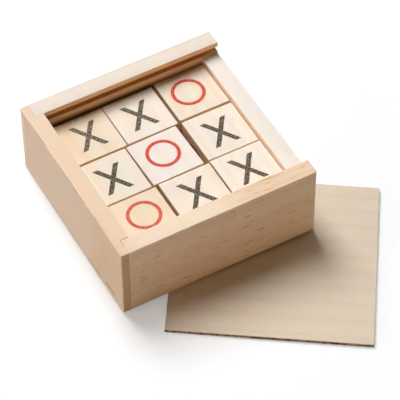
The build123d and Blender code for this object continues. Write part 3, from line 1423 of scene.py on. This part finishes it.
@dataclass(frozen=True)
class MarkedCube:
    """A loose basswood cube with a mark printed on four of its faces.

    The unevenness is the share by which its sanded edges vary, over swells of the given width.
    """

    seat: Seat
    axes: Matrix
    drift: tuple[float, float]
    shapes: PrintShapes = PrintShapes()
    edge: float = 26.5
    softening: float = 0.32
    sanding: float = 0.85
    unevenness: float = 0.3
    swell: float = 7.0
    step: float = 3.2
    flecks: float = 0.15
    trunk_step: float = 90.0

    def skin(self, seed: float) -> tuple[np.ndarray, np.ndarray]:
        """Build the cube about its middle, its edges sanded by hand.

        Args:
            seed: Gives the cube its own edges.

        Returns:
            The points in millimetres and the faces.
        """
        half = self.edge / 2
        lines = edge_lines(-half, -1, self.softening) + edge_lines(half, 1, self.softening)
        block = Block((-half, -half, -half), (half, half, half))
        points, faces = GridSolid([block], extra_lines=(lines, lines, lines), step=self.step).skin()
        uneven = self.sanding + self.unevenness * sway(points, self.swell, seed)
        radius = self.softening * uneven[:, None]
        core = np.clip(points, radius - half, half - radius)
        offset = points - core
        length = np.maximum(np.linalg.norm(offset, axis=1), SAME)
        scale = np.abs(offset).max(axis=1) / length
        return core + offset * scale[:, None], faces

    def printed_faces(self) -> list[tuple[Mark, Matrix]]:
        """List the cube's printed faces.

        Returns:
            The mark on each one and its axes, with Z out of the face.
        """
        other = Mark.NOUGHT if self.seat.top is Mark.CROSS else Mark.CROSS
        found = []
        for mark, reading, out in (
            (self.seat.top, (1, 0, 0), (0, 0, 1)),
            (self.seat.top, (1, 0, 0), (0, 0, -1)),
            (other, (0, -1, 0), (-1, 0, 0)),
            (other, (0, 1, 0), (1, 0, 0)),
        ):
            along = Vector(reading)
            up = Vector(out)
            found.append((mark, axes_at(up * (self.edge / 2), along, up.cross(along), up)))
        return found

    def build(self, seed: float) -> None:
        """Build the cube and its ink and tie them to the cube's body.

        Args:
            seed: Gives the cube its own edges and print.
        """
        seat = self.seat
        place = seat.place
        points, faces = self.skin(seed)
        along = seed * self.trunk_step
        # The cubes' sides get painted warm shade.
        patches = (CUBE_SIDES_PAINTED_SHADE, *seat.patches)
        cut = Cut(Grain.ALONG_Y, seat.heart, along, seat.colour, seat.figure, self.flecks, patches)
        material = SANDED_BASSWOOD.material(f"sanded_basswood_{place}", cut)
        made = make_object(f"wood_{place}", points, faces, self.axes, material)
        dress(made, f"cube_{place}", "cube_wood", f"cube_{place}")
        for mark, kind, slot, print_finish in (
            (Mark.CROSS, "crosses", "black_ink", BLACK_PRINT),
            (Mark.NOUGHT, "noughts", "red_ink", RED_PRINT),
        ):
            ink = print_finish.material(f"printed_{slot}_{place}", seat.wear)
            all_points = []
            all_faces = []
            for number, (printed, face_axes) in enumerate(self.printed_faces()):
                if printed is not mark:
                    continue
                film, film_faces = self.shapes.film(mark, seed + number)
                film[:, :2] += self.drift
                start = len(all_points)
                all_points += [face_axes @ Vector(point) for point in film]
                all_faces += [tuple(start + corner for corner in face) for face in film_faces]
            name = f"{kind}_ink_{place}"
            made = make_object(name, np.array(all_points), all_faces, self.axes, ink)
            dress(made, f"cube_{place}", slot, f"{kind}_{place}")


def direction(azimuth: float, elevation: float) -> Vector:
    """Find the direction that two angles give, as seen from the object.

    Args:
        azimuth: The turn from -Y towards X, in degrees.
        elevation: The rise from the floor, in degrees.

    Returns:
        A direction of length 1.
    """
    turn = math.radians(azimuth)
    rise = math.radians(elevation)
    return Vector((math.sin(turn) * math.cos(rise), -math.cos(turn) * math.cos(rise), math.sin(rise)))


@dataclass(frozen=True)
class Lamp:
    """A soft lamp, placed by its direction from the object."""

    name: str
    azimuth: float
    elevation: float
    distance: float
    size: float
    height: float
    level: float
    colour: str

    def build(self) -> None:
        """Hang the lamp and turn it to the object."""
        lamp = bpy.data.lights.new(self.name, "AREA")
        lamp.shape = "ELLIPSE"
        lamp.size = self.size
        lamp.size_y = self.height
        # At level 1, a face turned to a lamp of this power looks just as its colour is written.
        lamp.energy = math.pi**2 * self.distance**2 * self.level
        lamp.color = linear(self.colour)[:3]
        away = direction(self.azimuth, self.elevation)
        hung = link(self.name, lamp)
        hung.location = away * self.distance
        hung.rotation_euler = away.to_track_quat("Z", "Y").to_euler()


@dataclass(frozen=True)
class Studio:
    """A white floor under soft light from behind, and the photograph's point of view."""

    aim: Point = (-6.72, 26.74, 0.0)
    azimuth: float = -30.61
    elevation: float = 50.52
    roll: float = 2.05
    distance: float = 1148.7
    lens: float = 218.912
    sensor: float = 36.0
    clip_start: float = 0.05
    floor_size: float = 6.0
    floor_colour: str = "#D6D9DE"
    floor_glow: float = 0.38
    glow_shade_share: float = 0.3
    glow_shade_reach: float = 60.0
    world_level: float = 0.066
    world_colour: Colour = (1.0, 0.8, 0.56, 1.0)
    lamps: tuple[Lamp, ...] = (
        Lamp("softbox_behind", 188.0, 60.0, 2.2, 1.0, 1.5, 0.97, "#FFFEFC"),
        Lamp("softbox_left", 252.0, 17.0, 2.0, 0.8, 0.8, 0.24, "#FFF3E6"),
        Lamp("softbox_right", 118.0, 34.0, 2.0, 0.8, 0.8, 0.07, "#FFFFFF"),
        Lamp("fill_front", -15.0, 6.0, 1.6, 0.8, 0.8, 0.17, "#FFCA80"),
    )

    def camera(self) -> None:
        """Stand the camera where the photograph was taken from."""
        back = direction(self.azimuth, self.elevation)
        level_right = Vector((0, 0, 1)).cross(back).normalized()
        level_up = back.cross(level_right)
        lean = math.radians(self.roll)
        right = level_right * math.cos(lean) + level_up * math.sin(lean)
        lens = bpy.data.cameras.new("photo_view")
        lens.lens = self.lens
        lens.sensor_width = self.sensor
        lens.clip_start = self.clip_start
        seen = link("photo_view", lens)
        place = Vector(self.aim) * MM + back * self.distance * MM
        seen.matrix_world = axes_at(place, right, back.cross(right), back)
        bpy.context.scene.camera = seen

    def seen_directly(self, tree: NodeTree) -> Node:
        """Tell the rays that show the background from those that light the object.

        Args:
            tree: The node tree of the floor or the world.

        Returns:
            A node that is 1 for camera, glossy and transmission rays.
        """
        rays = add_node(tree, "LightPath").outputs
        either = {0: rays["Is Camera Ray"], 1: rays["Is Glossy Ray"]}
        mirrored = add_node(tree, "Math", either, operation="MAXIMUM")
        either = {0: mirrored, 1: rays["Is Transmission Ray"]}
        return add_node(tree, "Math", either, operation="MAXIMUM")

    def floor(self) -> None:
        """Lay the white floor, which keeps the object's shadow, with painted shade where its glow dims
        near the object.
        """
        half = self.floor_size / 2
        mesh = bpy.data.meshes.new("studio_floor")
        corners = [(-half, -half, 0), (half, -half, 0), (half, half, 0), (-half, half, 0)]
        mesh.from_pydata(corners, [], [(0, 1, 2, 3)])
        material = start_material("white_paper_floor")
        tree = material.node_tree
        paper = add_node(tree, "BsdfDiffuse", {"Color": linear(self.floor_colour), "Roughness": 0.0})
        # Painted shade: the glow dims where the floor is hidden from the room, near the object.
        glow_shade = add_node(tree, "AmbientOcclusion", {"Distance": self.glow_shade_reach * MM}).outputs["AO"]
        glow = {"To Min": self.floor_glow * (1 - self.glow_shade_share), "To Max": self.floor_glow}
        lifted = add_node(tree, "MapRange", {"Value": glow_shade, **glow})
        shown = add_node(tree, "Math", {0: self.seen_directly(tree), 1: lifted}, operation="MULTIPLY")
        light = add_node(tree, "Emission", {"Strength": shown})
        both = add_node(tree, "AddShader", {0: paper, 1: light})
        add_node(tree, "OutputMaterial", {"Surface": both})
        mesh.materials.append(material)
        floor = link("studio_floor", mesh)

    def world(self) -> None:
        """Fill the room with a dim even light, and give it a white background."""
        world = bpy.data.worlds.new("pale_room")
        world.use_nodes = True
        tree = world.node_tree
        tree.nodes.clear()
        room = {"Color": self.world_colour, "Strength": self.world_level}
        white = {"Color": (1.0, 1.0, 1.0, 1.0), "Strength": 1.0}
        dim, bright = (add_node(tree, "Background", light) for light in (room, white))
        both = add_node(tree, "MixShader", {0: self.seen_directly(tree), 1: dim, 2: bright})
        add_node(tree, "OutputWorld", {"Surface": both})
        bpy.context.scene.world = world

    def build(self) -> None:
        """Set up the view, the floor, the room and the lamps."""
        bpy.context.scene.view_settings.view_transform = "Standard"
        self.camera()
        self.floor()
        self.world()
        for lamp in self.lamps:
            lamp.build()
        LOG.info("studio: camera, floor, room and %d lamps", len(self.lamps))


def main() -> None:
    """Build the studio, the tray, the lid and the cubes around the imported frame."""
    logging.basicConfig(level=logging.INFO, format="%(name)s: %(message)s")
    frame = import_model()
    places = Places(frame)
    Studio().build()
    tray_axes = places.box_axes(Tray.width)
    Tray(tray_axes).build()
    Lid(places.lid_axes(Lid.length, Lid.width)).build()
    for number, seat in enumerate(SEATS, start=1):
        axes = places.cube_axes(seat.place, tray_axes)
        drift = places.print_drift(seat.place, axes, MarkedCube.edge)
        MarkedCube(seat, axes, drift).build(float(number))


if __name__ == "__main__":
    main()
